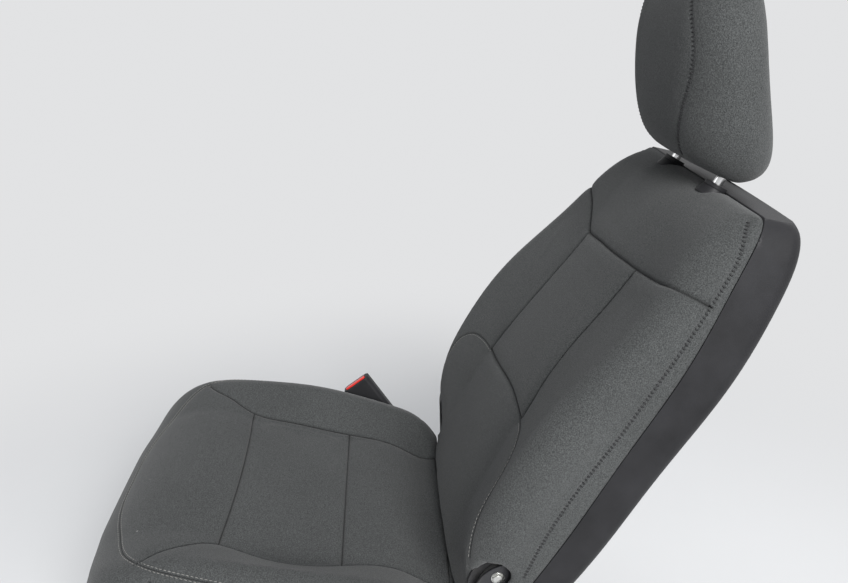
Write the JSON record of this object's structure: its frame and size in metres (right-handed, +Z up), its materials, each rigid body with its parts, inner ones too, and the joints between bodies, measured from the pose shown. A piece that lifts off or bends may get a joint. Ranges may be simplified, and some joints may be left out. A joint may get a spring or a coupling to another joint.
{
  "type": "vehicle front seat",
  "caption": "Front bucket seat with bolstered fabric cushion and back, headrest on posts, slide rails, height lift linkage, recliners, side shields and belt buckle.",
  "frame": {"origin": "centre of the four floor bolt holes, on the underside of the feet", "axes": "+X to the occupant's left, which is the door side; -Y is the way the seat faces; +Z up"},
  "size_m": [0.5783, 0.846, 1.041],
  "materials": {
    "knit_fabric": "charcoal woven knit, matt, with fine grain",
    "black_plastic": "moulded, fine grain, satin",
    "red_plastic": "moulded, satin gloss",
    "shoe_plastic": "natural moulded",
    "frame_paint": "black dip paint",
    "zinc_steel": "zinc plated, dull",
    "post_steel": "bright drawn tube",
    "cast_alloy": "die cast",
    "motor_paint": "black, semi matt"
  },
  "bodies": {
    "base": {"front_foot_l": "frame_paint", "front_foot_r": "frame_paint", "rear_foot_l": "frame_paint", "rear_foot_r": "frame_paint", "lower_rail_l": "zinc_steel", "lower_rail_r": "zinc_steel"},
    "carriage": {"upper_rail_l": "zinc_steel", "upper_rail_r": "zinc_steel", "glide_shoes_l": "shoe_plastic", "glide_shoes_r": "shoe_plastic", "riser_l": "frame_paint", "riser_r": "frame_paint", "slide_gearboxes": "cast_alloy", "slide_drive": "motor_paint"},
    "rear_links": {"rear_link_l": "zinc_steel", "rear_link_r": "zinc_steel", "rear_lift_tube": "zinc_steel"},
    "front_links": {"front_link_l": "zinc_steel", "front_link_r": "zinc_steel", "front_lift_tube": "zinc_steel"},
    "seat": {"side_plate_l": "frame_paint", "side_plate_r": "frame_paint", "recliner_l": "zinc_steel", "recliner_r": "zinc_steel", "front_pan": "frame_paint", "cross_tube": "frame_paint", "spring_bar": "frame_paint", "cushion_springs": "zinc_steel", "lift_motor": "motor_paint", "outer_shield": "black_plastic", "inner_shield": "black_plastic", "recline_lever": "black_plastic", "seat_switch": "black_plastic", "buckle_stalk": "zinc_steel", "buckle_housing": "black_plastic", "buckle_button": "red_plastic", "cushion": "knit_fabric"},
    "backrest": {"backrest": "knit_fabric", "back_panel": "black_plastic", "back_arm_l": "frame_paint", "back_arm_r": "frame_paint", "headrest_sleeve_l": "black_plastic", "headrest_sleeve_r": "black_plastic"},
    "headrest": {"headrest_posts": "post_steel", "headrest": "knit_fabric"}
  },
  "joints": [
    {"name": "seat_slide", "type": "slide", "parent": "base", "child": "carriage", "axis": [0, -1, 0], "range_m": [-0.09, 0.15]},
    {"name": "lift", "type": "hinge", "parent": "carriage", "child": "rear_links", "pos_m": [0, 0.15, 0.095], "axis": [1, 0, 0], "range_deg": [-38, 12]},
    {"name": "seat_level", "type": "hinge", "parent": "rear_links", "child": "seat", "pos_m": [0, 0.20142, 0.15628], "axis": [1, 0, 0], "range_deg": [-12, 38]},
    {"name": "front_lift", "type": "hinge", "parent": "carriage", "child": "front_links", "pos_m": [0, -0.13, 0.095], "axis": [1, 0, 0], "range_deg": [-38, 12]},
    {"name": "recline", "type": "hinge", "parent": "seat", "child": "backrest", "pos_m": [0, 0.2, 0.325], "axis": [-1, 0, 0], "range_deg": [-17, 36]},
    {"name": "headrest_height", "type": "slide", "parent": "backrest", "child": "headrest", "axis": [0, 0.4955, 0.8686], "range_m": [0, 0.07]}
  ],
  "couplings": [
    {"joint": "seat_level", "follows": "lift", "ratio": -1},
    {"joint": "front_lift", "follows": "lift", "ratio": 1}
  ]
}
